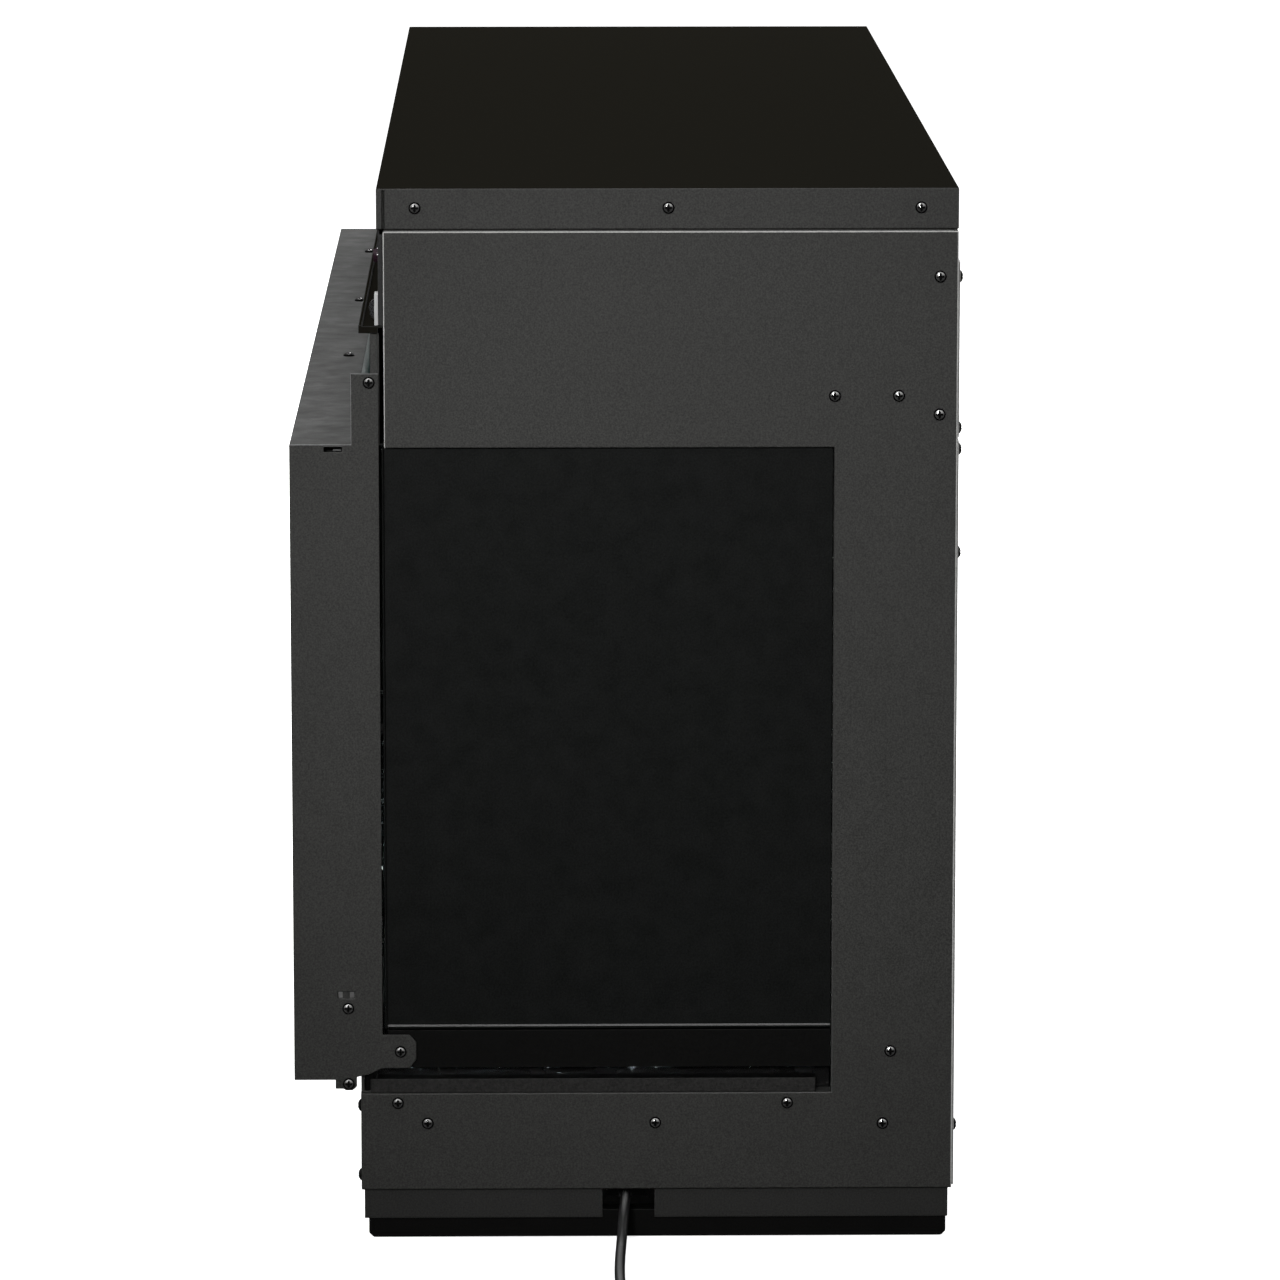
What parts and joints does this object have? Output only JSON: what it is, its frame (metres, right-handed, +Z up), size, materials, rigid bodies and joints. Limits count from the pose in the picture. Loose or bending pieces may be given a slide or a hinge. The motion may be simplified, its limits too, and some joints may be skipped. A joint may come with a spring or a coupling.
{
  "type": "electric fireplace",
  "caption": "Built-in linear electric fireplace: steel cabinet with side windows closed by blanking panels, deep front frame, lift-out glass, fan heater above and a lit ember bed.",
  "frame": {"origin": "centre of the cabinet's footprint, on the surface that the base rails stand on; the cord, its coil and its plug are left out of that box", "axes": "+Z up; the glass faces -Y; +X is the end with the control panel and the cord"},
  "size_m": [1.5564, 0.4472, 0.713],
  "materials": {
    "charcoal_steel": "satin",
    "lid_steel": "satin",
    "hood_steel": "satin",
    "black_satin": "satin",
    "black_steel": "satin",
    "wrinkle_sill": "matte",
    "galvanised": "satin",
    "grille_black": "matte",
    "clear_glass": "gloss",
    "wheel_metal": "satin",
    "motor_steel": "satin",
    "bearing_black": "matte",
    "heater_metal": "satin",
    "ceramic": "matte",
    "switch_grey": "matte",
    "control_black": "satin",
    "receiver_red": "gloss",
    "circuit_board": "satin",
    "lamp_bar": "satin",
    "flame_screen": "gloss",
    "reflector_foil": "polished",
    "bush_white": "matte",
    "tray_acrylic": "gloss",
    "crystal": "gloss",
    "driftwood": "matte",
    "screw_black": "gloss",
    "cord_black": "satin",
    "plug_black": "satin"
  },
  "bodies": {
    "cabinet": {"base_rails": "black_steel", "base_skirt": "charcoal_steel", "base_pan": "charcoal_steel", "side_panel_right": "charcoal_steel", "side_panel_left": "charcoal_steel", "side_filler_right": "black_satin", "side_filler_left": "black_satin", "side_strip_right": "black_steel", "side_strip_left": "black_steel", "tray_sill_right": "wrinkle_sill", "tray_sill_left": "wrinkle_sill", "rear_panel": "charcoal_steel", "rear_cover": "charcoal_steel", "front_apron": "charcoal_steel", "top_cover": "lid_steel", "firebox_ceiling": "black_satin", "header_panel": "charcoal_steel", "heat_deflector": "lid_steel", "outlet_grille": "grille_black", "frame_side_right": "charcoal_steel", "frame_side_left": "charcoal_steel", "frame_hood": "hood_steel", "frame_sill": "charcoal_steel", "glass_channel": "charcoal_steel", "blower_housing": "galvanised", "blower_motor": "motor_steel", "blower_bearing": "bearing_black", "heater_element": "heater_metal", "thermal_cutout": "ceramic", "control_panel": "grille_black", "switch_body": "switch_grey", "button_board": "circuit_board", "remote_receiver": "receiver_red", "control_board": "circuit_board", "led_driver": "galvanised", "terminal_block": "ceramic", "downlight_bar": "lamp_bar", "flame_screen": "flame_screen", "flicker_motor": "galvanised", "rod_bearings": "bush_white", "rod_brackets": "galvanised", "flame_light_bar": "lamp_bar", "ember_tray": "tray_acrylic", "ember_light_bar": "lamp_bar", "ember_media": "crystal", "log_set": "driftwood", "side_screws": "screw_black", "frame_screws": "screw_black", "cover_screws": "screw_black", "strain_relief": "bearing_black", "cord": "cord_black", "cord_coil": "cord_black", "plug": "plug_black"},
    "glass": {"front_glass": "clear_glass"},
    "rocker": {"power_rocker": "control_black"},
    "button_one": {"flame_button": "control_black"},
    "button_two": {"heat_button": "control_black"},
    "button_three": {"light_button": "control_black"},
    "wheel": {"blower_wheel": "wheel_metal"},
    "flicker": {"flicker_rod": "reflector_foil"}
  },
  "joints": [
    {"name": "glass_lift", "type": "slide", "parent": "cabinet", "child": "glass", "axis": [0, 0, 1], "range_m": [0, 0.02]},
    {"name": "rocker_tilt", "type": "hinge", "parent": "cabinet", "child": "rocker", "pos_m": [0.6235, -0.1625, 0.632], "axis": [1, 0, 0], "range_deg": [-18, 0]},
    {"name": "flame_press", "type": "slide", "parent": "cabinet", "child": "button_one", "axis": [0, 1, 0], "range_m": [0, 0.0012], "stiffness_N_per_m": 600},
    {"name": "heat_press", "type": "slide", "parent": "cabinet", "child": "button_two", "axis": [0, 1, 0], "range_m": [0, 0.0012], "stiffness_N_per_m": 600},
    {"name": "light_press", "type": "slide", "parent": "cabinet", "child": "button_three", "axis": [0, 1, 0], "range_m": [0, 0.0012], "stiffness_N_per_m": 600},
    {"name": "blower_spin", "type": "hinge", "parent": "cabinet", "child": "wheel", "pos_m": [0, -0.04, 0.662], "axis": [1, 0, 0], "continuous": true},
    {"name": "flicker_spin", "type": "hinge", "parent": "cabinet", "child": "flicker", "pos_m": [0, 0.175, 0.15], "axis": [1, 0, 0], "continuous": true}
  ]
}
